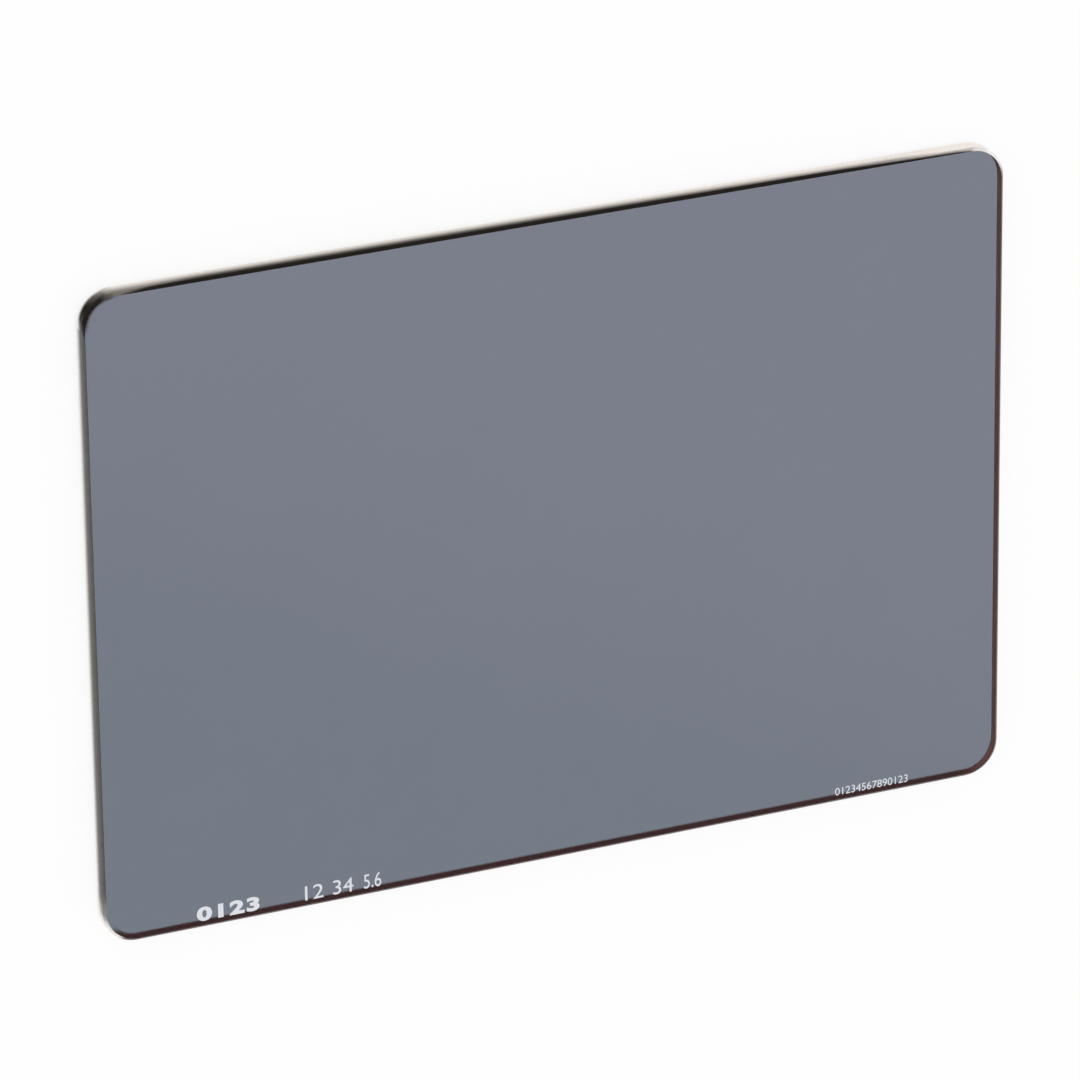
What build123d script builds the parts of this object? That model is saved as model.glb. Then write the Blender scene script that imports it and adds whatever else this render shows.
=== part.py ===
from build123d import *
import os

# Neutral density filter plate: one slab of optical glass for the filter tray of a
# camera's matte box, with round corners and a polished bevel round both faces.
# Millimetres. +X runs along the long side, +Y along the short side, and +Z points out of
# the front face, which is the printed one. The plate lies on its back face at Z = 0, and
# the origin is the centre of that face.

# Driving dimensions
plate_length = 143.51      # along X, the 5.65 inch side
plate_height = 101.6       # along Y, the 4 inch side
plate_thickness = 3.0      # along Z, from face to face
corner_radius = 5.2        # of the outline, seen from the front
bevel_width = 0.45         # of the 45 degree bevel, measured on the face and on the wall


def plate_blank():
    """The slab as cut to its outline, with sharp edges."""
    with BuildPart() as blank:
        with BuildSketch(Plane.XY):
            RectangleRounded(plate_length, plate_height, corner_radius)
        extrude(amount=plate_thickness)
    return blank.part


def face_rim(blank, side):
    """The edges round the face of the blank that is furthest along Z (side 1) or
    furthest against it (side -1)."""
    faces = blank.faces().sort_by(Axis.Z)
    face = faces[-1] if side > 0 else faces[0]
    return face.outer_wire().edges()


def filter_plate():
    """The finished slab, with the same bevel ground round its front and its back face."""
    blank = plate_blank()
    rims = face_rim(blank, 1) + face_rim(blank, -1)
    return chamfer(rims, bevel_width)


nodes = {"filter_plate": filter_plate()}

os.makedirs("parts", exist_ok=True)
for name, shape in nodes.items():
    export_step(shape, f"parts/{name}.step")
    size = shape.bounding_box().size
    print(f"{name}: {size.X:.3f} x {size.Y:.3f} x {size.Z:.3f} mm, {shape.volume:.1f} mm3")
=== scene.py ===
import math

import bmesh
import bpy
from mathutils import Matrix, Vector


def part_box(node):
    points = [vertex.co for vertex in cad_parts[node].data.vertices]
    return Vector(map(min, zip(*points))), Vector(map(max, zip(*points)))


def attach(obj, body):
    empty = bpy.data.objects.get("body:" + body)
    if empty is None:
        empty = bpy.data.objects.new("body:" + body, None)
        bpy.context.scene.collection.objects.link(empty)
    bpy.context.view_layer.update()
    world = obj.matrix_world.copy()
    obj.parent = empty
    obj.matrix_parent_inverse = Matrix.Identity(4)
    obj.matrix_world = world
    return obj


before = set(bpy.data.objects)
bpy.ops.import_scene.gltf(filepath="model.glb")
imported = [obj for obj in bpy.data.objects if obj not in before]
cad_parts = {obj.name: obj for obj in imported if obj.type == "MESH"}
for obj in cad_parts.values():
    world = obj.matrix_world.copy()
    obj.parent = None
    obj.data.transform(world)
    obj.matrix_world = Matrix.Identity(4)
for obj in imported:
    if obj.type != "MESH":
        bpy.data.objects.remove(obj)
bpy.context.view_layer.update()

# Neutral density filter plate, lying on its back face with the printed face up. Both faces
# are clear glass over a grey mirror coating inside the plate, so the dark edge of the glass
# shows through a face beside the coating. Metres, unless a comment says mm. With the marks
# along the lower edge, +X points to the right and +Y to the upper edge.

MM = 0.001

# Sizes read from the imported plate
plate_low, plate_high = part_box("filter_plate")
plate_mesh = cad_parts["filter_plate"].data
HALF_LENGTH = (plate_high.x - plate_low.x) / 2
HALF_HEIGHT = (plate_high.y - plate_low.y) / 2
THICKNESS = plate_high.z - plate_low.z
NEAR = 0.001 * MM               # a point this near to the front face or a wall is part of it
front_rim = [v.co for v in plate_mesh.vertices if v.co.z > THICKNESS - NEAR]
right_rim = [v.co for v in plate_mesh.vertices if v.co.x > HALF_LENGTH - NEAR]
BEVEL = HALF_LENGTH - max(point.x for point in front_rim)
CORNER_RADIUS = HALF_HEIGHT - max(point.y for point in right_rim)

# The lines where the straight sides end and the corners begin, with their axes
STRAIGHT_X = HALF_LENGTH - CORNER_RADIUS
STRAIGHT_Y = HALF_HEIGHT - CORNER_RADIUS
CORNER_LINES = {
    "left": ("X", -STRAIGHT_X),
    "right": ("X", STRAIGHT_X),
    "lower": ("Y", -STRAIGHT_Y),
    "upper": ("Y", STRAIGHT_Y),
}

# The mirror coating, inside the glass
COATING_DEPTH = 1.20 * MM       # below the front face
COATING_SKIN = 0.06 * MM        # thickness of the coating and of the dark edge around it
COATING_GAP = 0.03 * MM         # between the dark edge and the glass wall
CORNER_STEPS = 24               # straight runs in each rounded corner

# Printed marks: text, left edge, right edge, lower edge and upper edge in mm from the
# plate's left and lower edges, and how much bolder and wider set than plain type it is
MARKS = (
    ("0123", 14.3, 24.05, 1.12, 3.40, 0.045, 1.14),
    ("12", 31.2, 34.1, 1.15, 3.45, 0.0, 1.0),
    ("34", 35.6, 38.8, 1.15, 3.45, 0.0, 1.0),
    ("5.6", 40.45, 43.2, 1.15, 3.45, 0.0, 1.0),
    ("01234567890123", 116.5, 128.5, 1.12, 2.36, 0.0, 1.0),
)
INK_HEIGHT = 0.008 * MM         # how far the marks stand above the front face

# Camera, where the photograph's was in relation to the plate
CAMERA_PLACE = Vector((-0.42714, 0.49298, 1.02132))
CAMERA_AIM = Vector((-0.002129, 0.000516, 0.001875))
CAMERA_UP = Vector((0.16903, 0.91324, -0.37069))    # up in the picture
CAMERA_LENS = 277.03                                # mm
SENSOR_WIDTH = 36.0                                 # mm
CAMERA_REACH = 50.0                                 # it sees nothing further off

# The floor
FLOOR_HALF = 6.0                # from its middle to its sides
FLOOR_DROP = 0.05 * MM          # below the plate
FLOOR_GLOW = 0.85               # share of plain white in what is seen of the floor

# Optics of the glass
GLASS_IOR = 1.52
FRONT_TINT = (1.0, 0.46, 0.48)          # what the clear faces still reflect is reddish

# Tones of the coating: its grey, at the corner with the marks on its left and at the corner
# across, where the change from one to the other is a painted reflection, what its clouds leave
# of that grey, and its rims of painted shade and painted light
COATING_NEAR_MARKS = (0.145, 0.186, 0.226)
COATING_ACROSS = (0.168, 0.200, 0.247)
CLOUD_SHARE = (0.985, 0.99, 0.99)
RIM_PAINTED_SHADE = (0.010, 0.009, 0.008)        # in the upper left corner and along the lower side
# painted light, brown, on the coating's rim at the right and in the lower right corner
RIM_PAINTED_LIGHT = (0.14, 0.11, 0.10)
RIM_CORNER_PAINTED_LIGHT = (0.28, 0.14, 0.12)         # in the lower right corner

# Tones of the dark edge, round most of the plate and, as painted light, at the right
EDGE_DARK = (0.03, 0.012, 0.010)
EDGE_RIGHT_PAINTED_LIGHT = (0.50, 0.40, 0.31)

# Tones of the wall that come more than once, or in no table, all painted light and shade
WALL_PAINTED_LIGHT = (0.98, 0.96, 0.93)
WALL_LEFT = (0.082, 0.078, 0.071)
WALL_HIDDEN_FRONT = (0.090, 0.065, 0.055)   # of the lower and the right wall
WALL_HIDDEN_BACK = (0.46, 0.43, 0.40)
UPPER_LEFT_END = (0.26, 0.24, 0.215)        # front of the upper wall at its left end
LEFT_LOWER_END = (0.30, 0.29, 0.28)         # front of the left wall at its lower end

# Tones of the bevel that come more than once, or in no table: painted shade, and painted light
# at the lower end of the left bevel
BEVEL_PAINTED_SHADE = (0.010, 0.008, 0.006)
BEVEL_LOWER_END = (0.25, 0.245, 0.235)      # lower end of the left bevel

# The painted reflection along the upper bevel, a pale strip: its left half, its right half and
# the corner there
REFLECTION_LEFT = (0.19, 0.175, 0.155)
REFLECTION_RIGHT = (0.64, 0.59, 0.55)
REFLECTION_CORNER = (0.92, 0.885, 0.86)

INK_TONE = (0.74, 0.76, 0.81)

# How fine the specks of each finish are: the scale of their noise
COATING_CLOUDS = 55.0
EDGE_SPECKS = 900.0
BEVEL_SPECKS = 1200.0
WALL_SPECKS = 2600.0
INK_SPECKS = 4000.0
WALL_BUMP = 0.01 * MM           # how high the specks of the ground wall stand

# Tones of the wall and the bevel round the plate: 0 and 1 are the left side, 0.25 is the
# lower side, 0.5 the right and 0.75 the upper one, with the corners between them. The wall
# turns from its front tone to its back tone between two shares of its height, which the
# table of turns gives. The bevel turns from its inner tone at the face to its outer tone.
# These tones are painted light, shade and reflection: the pale ones stand for light from above
# and from the floor, the black and dark ones for shade and dark reflections.
WALL_FRONT_TONES = (
    (0.00, WALL_LEFT),
    (0.008, (0.450, 0.435, 0.420)),
    (0.03, (0.850, 0.830, 0.800)),
    (0.15, (0.900, 0.880, 0.850)),
    (0.20, WALL_HIDDEN_FRONT),
    (0.53, WALL_HIDDEN_FRONT),
    (0.60, (0.900, 0.880, 0.850)),
    (0.73, (0.850, 0.820, 0.780)),
    (0.748, (0.045, 0.036, 0.029)),
    (0.751, (0.045, 0.036, 0.029)),
    (0.757, (0.250, 0.235, 0.210)),
    (0.778, (0.180, 0.172, 0.155)),
    (0.806, (0.070, 0.066, 0.058)),
    (0.833, (0.055, 0.050, 0.045)),
    (0.861, (0.036, 0.032, 0.028)),
    (0.889, (0.020, 0.017, 0.014)),
    (0.955, (0.020, 0.017, 0.014)),
    (0.985, WALL_LEFT),
)
WALL_BACK_TONES = (
    (0.00, WALL_PAINTED_LIGHT),
    (0.19, (0.90, 0.86, 0.83)),
    (0.24, WALL_HIDDEN_BACK),
    (0.51, WALL_HIDDEN_BACK),
    (0.56, (0.90, 0.86, 0.83)),
    (0.65, (0.96, 0.93, 0.90)),
    (0.755, (0.96, 0.89, 0.83)),
    (0.80, (0.42, 0.40, 0.37)),
    (0.84, (0.16, 0.15, 0.14)),
    (0.875, (0.12, 0.11, 0.10)),
    (0.900, (0.50, 0.48, 0.46)),
    (0.917, (0.90, 0.88, 0.85)),
    (0.945, WALL_PAINTED_LIGHT),
)
WALL_TURNS = (
    (0.00, 0.20, 1.10),
    (0.05, 0.03, 1.05),
    (0.861, 0.03, 1.05),
    (0.889, 0.56, 1.10),
    (0.917, 0.56, 1.12),
    (0.944, 0.49, 1.07),
    (0.972, 0.25, 0.92),
    (0.988, 0.08, 0.88),
    (1.00, 0.20, 1.10),
)
BEVEL_INNER_TONES = (
    (0.00, (0.085, 0.083, 0.077)),
    (0.008, (0.200, 0.198, 0.190)),
    (0.028, (0.290, 0.285, 0.270)),
    (0.055, (0.650, 0.640, 0.610)),
    (0.145, (0.850, 0.830, 0.800)),
    (0.185, (0.070, 0.046, 0.040)),
    (0.22, (0.060, 0.036, 0.032)),
    (0.505, (0.070, 0.042, 0.037)),
    (0.550, (0.560, 0.510, 0.500)),
    (0.60, (0.900, 0.880, 0.870)),
    (0.67, (0.950, 0.930, 0.910)),
    (0.735, (0.700, 0.640, 0.620)),
    (0.748, BEVEL_PAINTED_SHADE),
    (0.752, BEVEL_PAINTED_SHADE),
    (0.762, (0.110, 0.101, 0.090)),
    (0.778, (0.095, 0.090, 0.080)),
    (0.80, (0.052, 0.050, 0.046)),
    (0.825, (0.014, 0.012, 0.010)),
    (0.97, BEVEL_PAINTED_SHADE),
    (1.00, (0.085, 0.083, 0.077)),
)
BEVEL_OUTER_TONES = (
    (0.00, (0.150, 0.146, 0.136)),
    (0.008, (0.340, 0.330, 0.315)),
    (0.028, (0.620, 0.600, 0.570)),
    (0.055, (0.900, 0.880, 0.840)),
    (0.145, (0.950, 0.930, 0.900)),
    (0.185, (0.200, 0.160, 0.150)),
    (0.22, (0.180, 0.140, 0.130)),
    (0.505, (0.170, 0.125, 0.112)),
    (0.550, (0.860, 0.820, 0.810)),
    (0.60, (0.950, 0.930, 0.920)),
    (0.67, (0.980, 0.960, 0.940)),
    (0.735, (0.920, 0.870, 0.850)),
    (0.748, (0.016, 0.012, 0.009)),
    (0.752, (0.016, 0.012, 0.009)),
    (0.762, (0.190, 0.176, 0.156)),
    (0.778, (0.150, 0.142, 0.128)),
    (0.80, (0.075, 0.071, 0.064)),
    (0.825, (0.016, 0.014, 0.011)),
    (0.96, (0.012, 0.010, 0.008)),
    (0.985, (0.085, 0.081, 0.074)),
    (1.00, (0.150, 0.146, 0.136)),
)

FLAT_FACE = 0.9                 # a face with this much Z in its normal is a flat one


class Surface:
    """A material with one Principled shader, and short ways to add the nodes that drive it."""

    def __init__(self, name):
        self.material = bpy.data.materials.new(name)
        self.material.use_nodes = True
        self.tree = self.material.node_tree
        self.shader = self.tree.nodes["Principled BSDF"]

    def add(self, kind, **settings):
        node = self.tree.nodes.new(kind)
        for key, value in settings.items():
            setattr(node, key, value)
        return node

    def feed(self, socket, value):
        """Link a socket to the input, or write a number or a colour on it."""
        if isinstance(value, bpy.types.NodeSocket):
            self.tree.links.new(value, socket)
        elif isinstance(value, tuple):
            socket.default_value = (*value, 1.0)
        else:
            socket.default_value = value

    def set(self, **values):
        """Feed inputs of the shader, each called by its name."""
        for key, value in values.items():
            self.feed(self.shader.inputs[key.replace("_", " ")], value)

    def coordinate(self, output):
        return self.add("ShaderNodeTexCoord").outputs[output]

    def axes(self, vector):
        """The X, Y and Z of a vector."""
        node = self.add("ShaderNodeSeparateXYZ")
        self.feed(node.inputs[0], vector)
        return node.outputs

    def place(self):
        """Where on the plate a point lies."""
        return self.axes(self.coordinate("Object"))

    def facing(self):
        """Which way the surface looks at a point."""
        return self.axes(self.coordinate("Normal"))

    def math(self, operation, *values):
        node = self.add("ShaderNodeMath", operation=operation)
        for socket, value in zip(node.inputs, values):
            self.feed(socket, value)
        return node.outputs[0]

    def chain(self, operation, first, *others):
        """All the values joined by one operation, one after another."""
        result = first
        for value in others:
            result = self.math(operation, result, value)
        return result

    def total(self, *values):
        return self.chain("ADD", *values)

    def product(self, *values):
        return self.chain("MULTIPLY", *values)

    def mapped(self, value, low, high, to_low=0.0, to_high=1.0, kind="SMOOTHSTEP"):
        """A smooth step from to_low to to_high, while the value goes from low to high."""
        node = self.add("ShaderNodeMapRange", interpolation_type=kind)
        for name, number in (
            ("Value", value),
            ("From Min", low),
            ("From Max", high),
            ("To Min", to_low),
            ("To Max", to_high),
        ):
            self.feed(node.inputs[name], number)
        return node.outputs["Result"]

    def linear(self, value, low, high, to_low=0.0, to_high=1.0):
        """The same as mapped, but at an even rate."""
        return self.mapped(value, low, high, to_low, to_high, "LINEAR")

    def towards(self, side, place, start, end, to_low=0.0, to_high=1.0):
        """A smooth step towards one side of the plate. It starts and ends this many mm past
        the line where the corners on that side begin."""
        axis, line = CORNER_LINES[side]
        outwards = math.copysign(MM, line)
        low = line + start * outwards
        high = line + end * outwards
        return self.mapped(place[axis], low, high, to_low, to_high)

    def ramp(self, value, stops):
        node = self.add("ShaderNodeValToRGB")
        elements = node.color_ramp.elements
        while len(elements) < len(stops):
            elements.new(0.5)
        for element, (place, colour) in zip(elements, stops):
            element.position = place
            element.color = (*colour, 1.0)
        self.feed(node.inputs["Fac"], value)
        return node.outputs["Color"]

    def blend(self, kind, factor, first, second):
        """The first colour blended with the second. The node keeps its colours at sockets 6
        and 7, and what comes out at 2."""
        node = self.add("ShaderNodeMix", data_type="RGBA", blend_type=kind)
        for index, value in ((0, factor), (6, first), (7, second)):
            self.feed(node.inputs[index], value)
        return node.outputs[2]

    def noise(self, scale, detail=2.0):
        node = self.add("ShaderNodeTexNoise")
        self.feed(node.inputs["Vector"], self.coordinate("Object"))
        self.feed(node.inputs["Scale"], scale)
        self.feed(node.inputs["Detail"], detail)
        return node.outputs["Fac"]

    def specks(self, scale, detail=2.0, least=0.0, most=1.0):
        """Noise with its middle values spread from least to most."""
        return self.mapped(self.noise(scale, detail), 0.3, 0.7, least, most)

    def grain(self, tone, scale, darkest):
        """The tone with fine specks, the darkest of them at this share of it."""
        share = (darkest, darkest, darkest)
        return self.blend("MULTIPLY", self.specks(scale, 3.0), tone, share)

    def bump(self, height, distance, strength):
        node = self.add("ShaderNodeBump")
        self.feed(node.inputs["Strength"], strength)
        self.feed(node.inputs["Distance"], distance)
        self.feed(node.inputs["Height"], height)
        self.set(Normal=node.outputs["Normal"])

    def inset(self, place):
        """How far in from the plate's outline a point lies, up to the corner radius."""
        past = []
        for axis, straight in (("X", STRAIGHT_X), ("Y", STRAIGHT_Y)):
            beyond = self.math("SUBTRACT", self.math("ABSOLUTE", place[axis]), straight)
            past.append(self.math("POWER", self.math("MAXIMUM", beyond, 0.0), 2.0))
        reach = self.math("SQRT", self.total(*past))
        return self.math("SUBTRACT", CORNER_RADIUS, reach)

    def around(self, facing):
        """How far round the plate a wall or a bevel looks, as the tables of tones count it."""
        angle = self.math("ARCTAN2", facing["Y"], facing["X"])
        return self.linear(angle, -math.pi, math.pi)


def clear_glass():
    """The two faces, which show the coating under them."""
    surface = Surface("clear_glass")
    surface.set(Base_Color=(1.0, 1.0, 1.0), Transmission_Weight=1.0, IOR=GLASS_IOR)
    surface.set(Specular_Tint=FRONT_TINT, Roughness=0.0)
    return surface.material


def coating_grey(surface, place):
    """The grey of the coating, a little bluer and darker at the corner with the marks, which is
    a painted reflection, and faintly clouded."""
    # the shift between the two greys across the plate is a painted reflection
    across = surface.math("MULTIPLY_ADD", place["X"], 0.45, place["Y"])
    painted_reflection_shift = surface.mapped(across, -HALF_HEIGHT, 0.54 * HALF_HEIGHT)
    grey = surface.blend("MIX", painted_reflection_shift, COATING_NEAR_MARKS, COATING_ACROSS)
    return surface.blend("MULTIPLY", surface.specks(COATING_CLOUDS), grey, CLOUD_SHARE)


def painted_shade_rims(surface, place, inset):
    """Where painted shade darkens the coating's rim: in the upper left corner and along the
    lower side.
    """
    upper_left = surface.product(
        surface.mapped(inset, 1.33 * MM, 0.80 * MM, 0.0, 0.92),
        surface.towards("left", place, -1.0, 1.0),
        surface.towards("upper", place, -1.0, 1.0),
    )
    lower = surface.product(
        surface.mapped(inset, 1.16 * MM, 0.84 * MM, 0.0, 0.90),
        surface.towards("left", place, 3.8, 2.6),
        surface.towards("lower", place, -0.5, 1.5),
    )
    return surface.math("MAXIMUM", upper_left, lower)


def painted_light_rim(surface, place, inset):
    """Where painted light makes the coating's rim brown, which is along the right side, and its
    tone. In the lower corner there it is redder and wider."""
    above_corner = surface.towards("lower", place, 2.08, -1.56)
    narrowed = surface.math("MULTIPLY_ADD", above_corner, 0.14 * MM, inset)
    share = surface.product(
        surface.mapped(narrowed, 1.02 * MM, 0.74 * MM),
        surface.towards("right", place, -1.56, 3.12),
        surface.towards("upper", place, 3.64, 0.0),
    )
    tone = surface.blend("MIX", above_corner, RIM_CORNER_PAINTED_LIGHT, RIM_PAINTED_LIGHT)
    return share, tone


def mirror_coating():
    """Grey mirror with rims of painted shade, and a brown one of painted light at the right that
    is no mirror.
    """
    surface = Surface("mirror_coating")
    place = surface.place()
    inset = surface.inset(place)
    dark = painted_shade_rims(surface, place, inset)
    tone = surface.blend("MIX", dark, coating_grey(surface, place), RIM_PAINTED_SHADE)
    brown, painted_light_tone = painted_light_rim(surface, place, inset)
    tone = surface.blend("MIX", brown, tone, painted_light_tone)
    metallic = surface.math("SUBTRACT", 1.0, brown)
    surface.set(Base_Color=tone, Metallic=metallic, Roughness=0.02, Specular_IOR_Level=0.0)
    return surface.material


def dark_edge():
    """The wall of the glass as it shows through a face: nearly black, and brown at the right,
    which is painted light.
    """
    surface = Surface("dark_edge")
    right = surface.towards("right", surface.place(), -2.6, 5.2)
    tone = surface.blend("MIX", right, EDGE_DARK, EDGE_RIGHT_PAINTED_LIGHT)
    surface.set(Base_Color=surface.grain(tone, EDGE_SPECKS, 0.8), Roughness=0.6)
    return surface.material


def counted_depth(surface, place, depth, left, upper):
    """The depth on the wall, counted higher where the painted light, the pale part, is wider:
    towards the right along the upper side, upwards along the left side and in the lower left
    corner."""
    rightwards = surface.linear(place["X"], -0.2 * HALF_LENGTH, 1.04 * HALF_LENGTH)
    widening = surface.product(surface.math("POWER", rightwards, 2.0), 0.6)
    right_end = surface.mapped(place["X"], 54.0 * MM, 67.0 * MM, 0.0, 0.5)
    along_upper = surface.product(surface.total(widening, right_end), upper)
    upwards = surface.linear(place["Y"], -HALF_HEIGHT, HALF_HEIGHT, -0.05, 0.07)
    along_left = surface.product(upwards, surface.math("POWER", left, 16.0))
    in_corner = surface.product(surface.towards("lower", place, -3.0, 1.0, 0.0, 0.25), left)
    return surface.total(depth, along_upper, along_left, in_corner)


def wall_front(surface, place, facing, side):
    """The wall's tone at the front bevel, with the two ends of walls that differ, all painted
    light and shade.
    """
    tone = surface.ramp(side, WALL_FRONT_TONES)
    left_end = surface.product(
        surface.mapped(place["X"], -52.0 * MM, -65.0 * MM),
        surface.mapped(facing["Y"], 0.96, 1.0),
    )
    tone = surface.blend("MIX", left_end, tone, UPPER_LEFT_END)
    lower_end = surface.product(
        surface.towards("lower", place, -3.0, -0.3),
        surface.mapped(facing["X"], -0.992, -0.9995),
    )
    return surface.blend("MIX", lower_end, tone, LEFT_LOWER_END)


def ground_wall():
    """Finely ground wall of the glass, whose tone is painted light and shade. It turns from a
    front tone to a
    back tone on its way down: from dark to pale at the left and above, and from dark to a middle
    grey below and at the right."""
    surface = Surface("ground_wall")
    place = surface.place()
    facing = surface.facing()
    side = surface.around(facing)
    left = surface.math("MAXIMUM", surface.product(facing["X"], -1.0), 0.0)
    upper = surface.math("MAXIMUM", facing["Y"], 0.0)
    depth = surface.linear(place["Z"], THICKNESS - BEVEL, BEVEL)
    turn_stops = [(share, (start, end, 0.0)) for share, start, end in WALL_TURNS]
    turns = surface.axes(surface.ramp(side, turn_stops))
    counted = counted_depth(surface, place, depth, left, upper)
    share = surface.mapped(counted, turns["X"], turns["Y"])
    front = wall_front(surface, place, facing, side)
    tone = surface.blend("MIX", share, front, surface.ramp(side, WALL_BACK_TONES))
    # painted light from the floor: the lower part of the walls that face left turns pale
    painted_floor_light = surface.product(surface.mapped(depth, 0.68, 1.08), surface.mapped(left, 0.1, 0.4))
    tone = surface.blend("MIX", painted_floor_light, tone, WALL_PAINTED_LIGHT)
    surface.set(Base_Color=surface.grain(tone, WALL_SPECKS, 0.9))
    surface.bump(surface.noise(WALL_SPECKS, 3.0), WALL_BUMP, 0.6)
    gloss = surface.product(surface.math("POWER", upper, 8.0), 0.05)
    gloss = surface.math("MULTIPLY_ADD", surface.math("POWER", left, 24.0), 0.5, gloss)
    surface.set(Roughness=0.5, Specular_IOR_Level=gloss)
    return surface.material


def left_bevel(surface, place, facing, outwards, tone):
    """The tone with the two ends of the left bevel put in: black beside the face at the upper
    end, which is painted shade, and lighter at the lower one, which is painted light."""
    black = surface.product(
        surface.towards("upper", place, -1.4, 0.1),
        surface.mapped(outwards, 0.75, 0.25),
        surface.mapped(facing["X"], -0.35, -0.55),
    )
    tone = surface.blend("MIX", black, tone, BEVEL_PAINTED_SHADE)
    lighter = surface.product(
        surface.towards("lower", place, -4.0, 0.4),
        surface.mapped(facing["X"], -0.701, -0.7065),
    )
    return surface.blend("MIX", lighter, tone, BEVEL_LOWER_END)


def upper_bevel(surface, place, facing, outwards, tone):
    """The tone with the pale strip of the upper bevel put in, a painted reflection. The strip
    lies beside the wall and widens towards both ends, so the black line of painted shade beside
    the face narrows there."""
    leftwards = surface.linear(place["X"], -50.0 * MM, -STRAIGHT_X)
    left_end = surface.product(surface.math("POWER", leftwards, 3.6), 1.7)
    rightwards = surface.linear(place["X"], 38.0 * MM, STRAIGHT_X)
    turning = surface.towards("right", place, -2.5, 1.5, 0.0, 0.4)
    wider = surface.math("MAXIMUM", left_end, surface.total(rightwards, turning))
    share = surface.product(
        surface.mapped(surface.total(outwards, wider), 1.0, 1.9),
        surface.mapped(facing["Y"], 0.3, 0.7),
        surface.towards("left", place, 0.6, 0.1),
    )
    right_half = surface.mapped(place["X"], -30.0 * MM, 30.0 * MM)
    strip = surface.blend("MIX", right_half, REFLECTION_LEFT, REFLECTION_RIGHT)
    corner = surface.towards("right", place, -0.4, 2.4)
    strip = surface.blend("MIX", corner, strip, REFLECTION_CORNER)
    return surface.blend("MIX", share, tone, strip)


def polished_bevel():
    """The bevels, whose tones round the plate are painted light, shade and reflection: dark grey
    at the left, brown below and at the right, and black above with a pale strip. The lower left
    and the upper right corner are pale, and the upper left one is black."""
    surface = Surface("polished_bevel")
    place = surface.place()
    facing = surface.facing()
    side = surface.around(facing)
    middle = THICKNESS / 2
    from_middle = surface.math("ABSOLUTE", surface.math("SUBTRACT", place["Z"], middle))
    outwards = surface.linear(from_middle, middle, middle - BEVEL)
    inner = surface.ramp(side, BEVEL_INNER_TONES)
    outer = surface.ramp(side, BEVEL_OUTER_TONES)
    tone = surface.blend("MIX", outwards, inner, outer)
    tone = left_bevel(surface, place, facing, outwards, tone)
    tone = upper_bevel(surface, place, facing, outwards, tone)
    surface.set(Base_Color=surface.grain(tone, BEVEL_SPECKS, 0.85))
    surface.set(Roughness=surface.specks(BEVEL_SPECKS, 2.0, 0.12, 0.25))
    surface.set(Specular_IOR_Level=0.07)
    return surface.material


def white_ink():
    """Slightly bluish white, dull and faintly speckled."""
    surface = Surface("white_ink")
    surface.set(Base_Color=surface.grain(INK_TONE, INK_SPECKS, 0.93), Roughness=0.6)
    return surface.material


def finish_plate():
    """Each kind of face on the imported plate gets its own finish."""
    plate_mesh.materials.clear()
    for material in (clear_glass(), ground_wall(), polished_bevel()):
        plate_mesh.materials.append(material)
    for face in plate_mesh.polygons:
        tilt = abs(face.normal.z)
        if tilt > FLAT_FACE:
            face.material_index = 0
        elif tilt < 1 - FLAT_FACE:
            face.material_index = 1
        else:
            face.material_index = 2


def add_piece(name, mesh):
    piece = bpy.data.objects.new(name, mesh)
    bpy.context.scene.collection.objects.link(piece)
    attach(piece, "root")
    return piece


def outline(inset):
    """Points round the plate's outline, drawn in by inset, anticlockwise from the right."""
    radius = CORNER_RADIUS - inset
    points = []
    for quarter, (side_x, side_y) in enumerate(((1, 1), (-1, 1), (-1, -1), (1, -1))):
        for step in range(CORNER_STEPS + 1):
            angle = (quarter + step / CORNER_STEPS) * math.pi / 2
            x = side_x * STRAIGHT_X + radius * math.cos(angle)
            y = side_y * STRAIGHT_Y + radius * math.sin(angle)
            points.append((x, y))
    return points


def make_coating():
    """The mirror layer with the dark edge that stands round it towards both faces, as one
    closed body with an H section."""
    outer = COATING_GAP
    inner = COATING_GAP + COATING_SKIN
    mirror_front = THICKNESS - COATING_DEPTH
    section = (
        (inner, mirror_front - COATING_SKIN),
        (inner, BEVEL),
        (outer, BEVEL),
        (outer, THICKNESS - BEVEL),
        (inner, THICKNESS - BEVEL),
        (inner, mirror_front),
    )
    build = bmesh.new()
    loops = [[build.verts.new((x, y, z)) for x, y in outline(inset)] for inset, z in section]
    count = len(loops[0])
    for low, high in zip(loops, loops[1:]):
        for here in range(count):
            there = (here + 1) % count
            face = build.faces.new((low[here], low[there], high[there], high[here]))
            face.material_index = 1
    for layer in (reversed(loops[0]), loops[-1]):
        build.faces.new(layer).material_index = 0
    mesh = bpy.data.meshes.new("inner_coating")
    build.to_mesh(mesh)
    build.free()
    for material in (mirror_coating(), dark_edge()):
        mesh.materials.append(material)
    add_piece("inner_coating", mesh)


def solid_text(text, bolder, spacing):
    """A mesh of the text with some thickness, to be stretched to its size."""
    curve = bpy.data.curves.new("mark", "FONT")
    curve.body = text
    curve.offset = bolder
    curve.space_character = spacing
    curve.extrude = 0.5
    source = bpy.data.objects.new("mark", curve)
    bpy.context.scene.collection.objects.link(source)
    bpy.context.view_layer.update()
    shape = source.evaluated_get(bpy.context.evaluated_depsgraph_get())
    mesh = bpy.data.meshes.new_from_object(shape)
    bpy.data.objects.remove(source)
    mesh.materials.clear()
    return mesh


def fit_into(mesh, low, high):
    """Stretch the mesh to fill the box between two corners."""
    for axis in range(3):
        places = [vertex.co[axis] for vertex in mesh.vertices]
        start = min(places)
        span = max(places) - start
        for vertex in mesh.vertices:
            share = (vertex.co[axis] - start) / span
            vertex.co[axis] = low[axis] + share * (high[axis] - low[axis])


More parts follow.
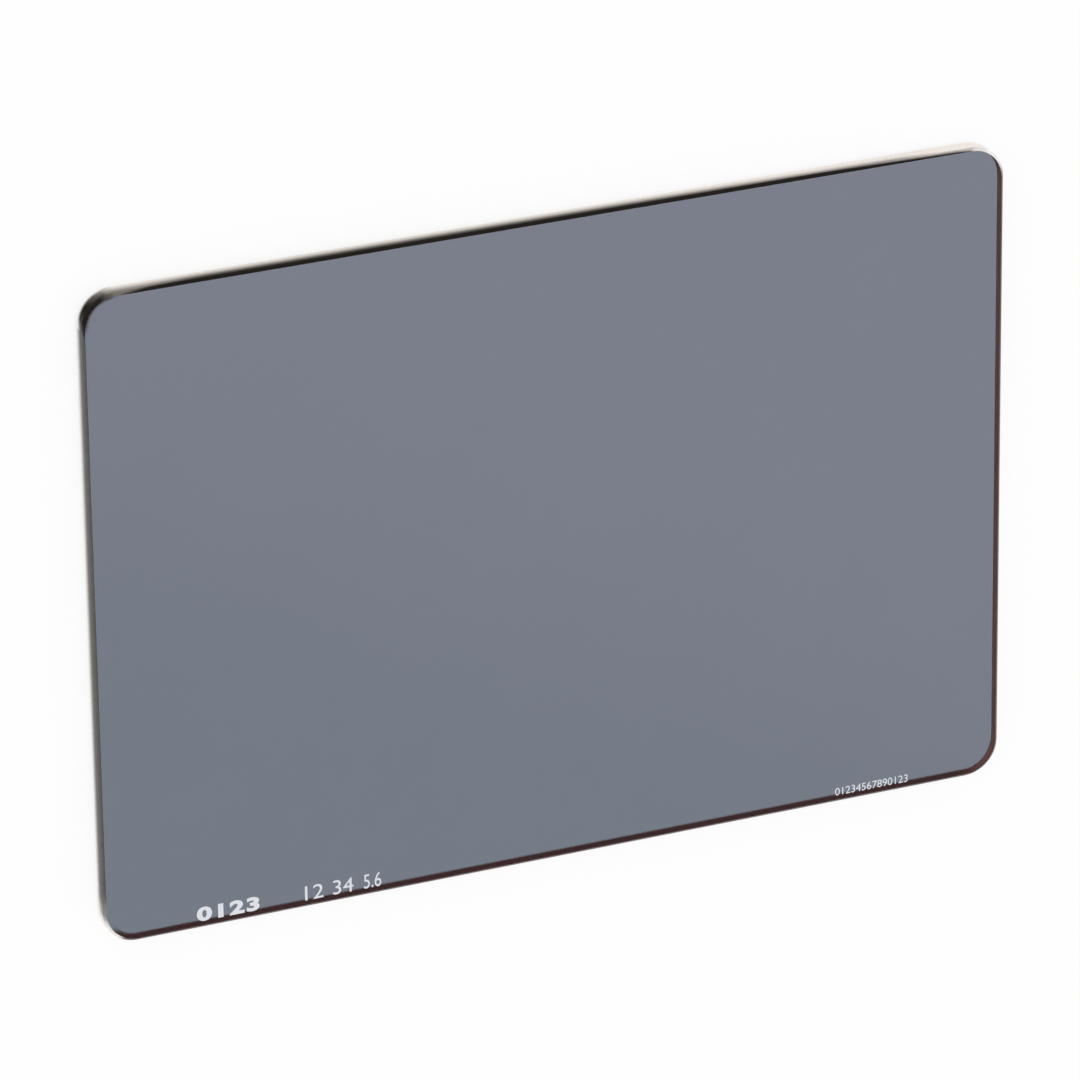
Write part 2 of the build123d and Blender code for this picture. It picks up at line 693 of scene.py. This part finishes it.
def print_marks():
    ink = white_ink()
    for number, (text, left, right, lower, upper, bolder, spacing) in enumerate(MARKS, 1):
        mesh = solid_text(text, bolder, spacing)
        low = (left * MM - HALF_LENGTH, lower * MM - HALF_HEIGHT, THICKNESS)
        high = (right * MM - HALF_LENGTH, upper * MM - HALF_HEIGHT, THICKNESS + INK_HEIGHT)
        fit_into(mesh, low, high)
        mesh.materials.append(ink)
        mark = add_piece(f"printed_mark_{number}", mesh)
        mark.visible_glossy = False         # the coating does not mirror the ink
        mark.visible_transmission = False


def place_camera():
    """The camera looks down on the plate, turned as the photograph's was."""
    data = bpy.data.cameras.new("camera")
    data.lens = CAMERA_LENS
    data.sensor_width = SENSOR_WIDTH
    data.sensor_fit = "HORIZONTAL"
    data.clip_end = CAMERA_REACH
    camera = bpy.data.objects.new("camera", data)
    back = (CAMERA_PLACE - CAMERA_AIM).normalized()
    right = CAMERA_UP.cross(back).normalized()
    up = back.cross(right)
    turn = Matrix((right, up, back)).transposed().to_4x4()
    camera.matrix_world = Matrix.Translation(CAMERA_PLACE) @ turn
    bpy.context.scene.collection.objects.link(camera)
    bpy.context.scene.camera = camera


def floor_finish():
    """White paper that glows in what the camera sees of it, directly or by way of the plate,
    and still takes a little of the plate's shadow."""
    surface = Surface("floor")
    surface.set(Base_Color=(0.95, 0.95, 0.95), Roughness=0.9, Specular_IOR_Level=0.0)
    white = surface.add("ShaderNodeEmission")
    mix = surface.add("ShaderNodeMixShader")
    rays = surface.add("ShaderNodeLightPath").outputs
    seen = surface.chain(
        "MAXIMUM", rays["Is Camera Ray"], rays["Is Glossy Ray"], rays["Is Transmission Ray"]
    )
    surface.feed(mix.inputs["Fac"], surface.product(seen, FLOOR_GLOW))
    surface.feed(mix.inputs[1], surface.shader.outputs[0])
    surface.feed(mix.inputs[2], white.outputs[0])
    surface.feed(surface.tree.nodes["Material Output"].inputs["Surface"], mix.outputs[0])
    return surface.material


def lay_floor():
    size = FLOOR_HALF
    corners = [(-size, -size, 0), (size, -size, 0), (size, size, 0), (-size, size, 0)]
    mesh = bpy.data.meshes.new("floor")
    mesh.from_pydata(corners, [], [(0, 1, 2, 3)])
    mesh.materials.append(floor_finish())
    floor = bpy.data.objects.new("floor", mesh)
    floor.location.z = -FLOOR_DROP
    bpy.context.scene.collection.objects.link(floor)


def light_world():
    """Even white light from all round."""
    world = bpy.data.worlds.new("world")
    bpy.context.scene.world = world
    world.use_nodes = True
    background = world.node_tree.nodes["Background"]
    background.inputs["Color"].default_value = (1, 1, 1, 1)
    background.inputs["Strength"].default_value = 1.0


place_camera()
finish_plate()
make_coating()
print_marks()
lay_floor()
light_world()
bpy.context.scene.view_settings.view_transform = "Standard"
